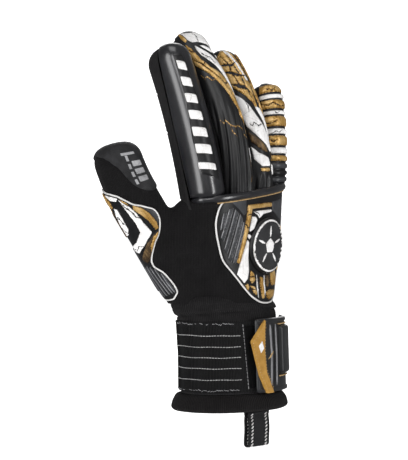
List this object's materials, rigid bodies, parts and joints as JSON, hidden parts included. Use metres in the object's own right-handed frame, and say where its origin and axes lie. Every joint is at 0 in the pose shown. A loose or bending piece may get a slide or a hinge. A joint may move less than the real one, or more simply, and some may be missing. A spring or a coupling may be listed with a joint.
{
  "type": "goalkeeper glove",
  "caption": "Right-hand padded goalkeeper glove with moulded back panels, foam palm, knit body, elastic wrist wrap, hook-and-loop strap and webbing pull loop.",
  "frame": {"origin": "centre of the wrist opening, in the plane of the hem's lower edge", "axes": "+Z towards the fingertips, -Y out of the back of the hand, +Y out of the palm, -X towards the thumb"},
  "size_m": [0.1501, 0.0902, 0.2984],
  "materials": {
    "back_panel": "satin",
    "finger_latex": "matte",
    "lining": "matte",
    "knit": "matte",
    "palm_foam": "matte",
    "moulded_panel": "satin",
    "badge": "satin",
    "printed_patch": "satin",
    "gold_tab": "satin",
    "hem_binding": "matte",
    "elastic": "matte",
    "strap_latex": "satin",
    "webbing": "matte",
    "fastener_pile": "matte",
    "fastener_hook": "matte"
  },
  "bodies": {
    "cuff": {"hem": "hem_binding", "cuff_lining": "lining", "elastic_bandage": "elastic", "wrist_band": "knit", "loop_pad": "fastener_pile", "strap_anchor": "strap_latex", "loop_anchor": "webbing"},
    "strap": {"strap": "strap_latex", "strap_hook": "fastener_hook", "strap_pad": "moulded_panel", "pull_tab": "gold_tab"},
    "pull_loop": {"pull_loop": "webbing"},
    "hand": {"palm_latex": "palm_foam", "knit_back": "knit", "hand_lining": "lining", "thumb_base": "knit", "thumb_patch": "printed_patch", "backhand_panel": "moulded_panel", "backhand_badge": "badge", "knuckle_bar": "moulded_panel"},
    "index_root": {"index_root_back": "back_panel", "index_root_latex": "finger_latex", "index_root_sleeve": "lining"},
    "index_tip": {"index_tip_back": "back_panel", "index_tip_latex": "finger_latex", "index_tip_sleeve": "lining"},
    "middle_root": {"middle_root_back": "back_panel", "middle_root_latex": "finger_latex", "middle_root_sleeve": "lining"},
    "middle_tip": {"middle_tip_back": "back_panel", "middle_tip_latex": "finger_latex", "middle_tip_sleeve": "lining"},
    "ring_root": {"ring_root_back": "back_panel", "ring_root_latex": "finger_latex", "ring_root_sleeve": "lining"},
    "ring_tip": {"ring_tip_back": "back_panel", "ring_tip_latex": "finger_latex", "ring_tip_sleeve": "lining"},
    "little_root": {"little_root_back": "back_panel", "little_root_latex": "finger_latex", "little_root_sleeve": "lining"},
    "little_tip": {"little_tip_back": "back_panel", "little_tip_latex": "finger_latex", "little_tip_sleeve": "lining"},
    "thumb_root": {"thumb_root_back": "back_panel", "thumb_root_latex": "finger_latex", "thumb_root_sleeve": "lining"},
    "thumb_tip": {"thumb_tip_back": "back_panel", "thumb_tip_latex": "finger_latex", "thumb_tip_sleeve": "lining"}
  },
  "joints": [
    {"name": "wrist_flex", "type": "hinge", "parent": "cuff", "child": "hand", "pos_m": [-0.002, 0.0025, 0.0727], "axis": [-1, 0, 0], "range_deg": [-18, 22], "stiffness_Nm_per_rad": 0.6, "deforming": ["wrist_band"]},
    {"name": "strap_peel", "type": "hinge", "parent": "cuff", "child": "strap", "pos_m": [0.0392, -0.013, 0.04], "axis": [0, 0, 1], "range_deg": [0, 75]},
    {"name": "loop_swing", "type": "hinge", "parent": "cuff", "child": "pull_loop", "pos_m": [0.0055, -0.0206, 0], "axis": [1, 0, 0], "range_deg": [-25, 25]},
    {"name": "index_knuckle", "type": "hinge", "parent": "hand", "child": "index_root", "pos_m": [-0.037, 0.0105, 0.14993], "axis": [-0.994, 0, -0.1093], "range_deg": [-5, 60], "stiffness_Nm_per_rad": 0.25},
    {"name": "index_middle", "type": "hinge", "parent": "index_root", "child": "index_tip", "pos_m": [-0.03872, 0.02157, 0.19769], "axis": [-0.9993, 0, -0.0365], "range_deg": [-4, 75], "stiffness_Nm_per_rad": 0.15},
    {"name": "middle_knuckle", "type": "hinge", "parent": "hand", "child": "middle_root", "pos_m": [-0.011, 0.0045, 0.15279], "axis": [-0.994, 0, -0.1093], "range_deg": [-5, 60], "stiffness_Nm_per_rad": 0.25},
    {"name": "middle_middle", "type": "hinge", "parent": "middle_root", "child": "middle_tip", "pos_m": [-0.01242, 0.01469, 0.20373], "axis": [-0.9995, 0, -0.03], "range_deg": [-4, 75], "stiffness_Nm_per_rad": 0.15},
    {"name": "ring_knuckle", "type": "hinge", "parent": "hand", "child": "ring_root", "pos_m": [0.0126, 0.0054, 0.15539], "axis": [-0.994, 0, -0.1093], "range_deg": [-5, 60], "stiffness_Nm_per_rad": 0.25},
    {"name": "ring_middle", "type": "hinge", "parent": "ring_root", "child": "ring_tip", "pos_m": [0.01342, 0.01239, 0.19981], "axis": [-0.9998, 0, 0.0197], "range_deg": [-4, 75], "stiffness_Nm_per_rad": 0.15},
    {"name": "little_knuckle", "type": "hinge", "parent": "hand", "child": "little_root", "pos_m": [0.0352, 0.0084, 0.15787], "axis": [-0.994, 0, -0.1093], "range_deg": [-5, 60], "stiffness_Nm_per_rad": 0.25},
    {"name": "little_middle", "type": "hinge", "parent": "little_root", "child": "little_tip", "pos_m": [0.03768, 0.00842, 0.19315], "axis": [-0.9975, 0, 0.0706], "range_deg": [-4, 75], "stiffness_Nm_per_rad": 0.15},
    {"name": "thumb_knuckle", "type": "hinge", "parent": "hand", "child": "thumb_root", "pos_m": [-0.05899, 0.0403, 0.15474], "axis": [-0.5577, 0.6644, -0.4976], "range_deg": [-4, 24], "stiffness_Nm_per_rad": 0.25},
    {"name": "thumb_middle", "type": "hinge", "parent": "thumb_root", "child": "thumb_tip", "pos_m": [-0.0674, 0.04371, 0.17136], "axis": [-0.5879, 0.7003, -0.4048], "range_deg": [-4, 42], "stiffness_Nm_per_rad": 0.15}
  ]
}
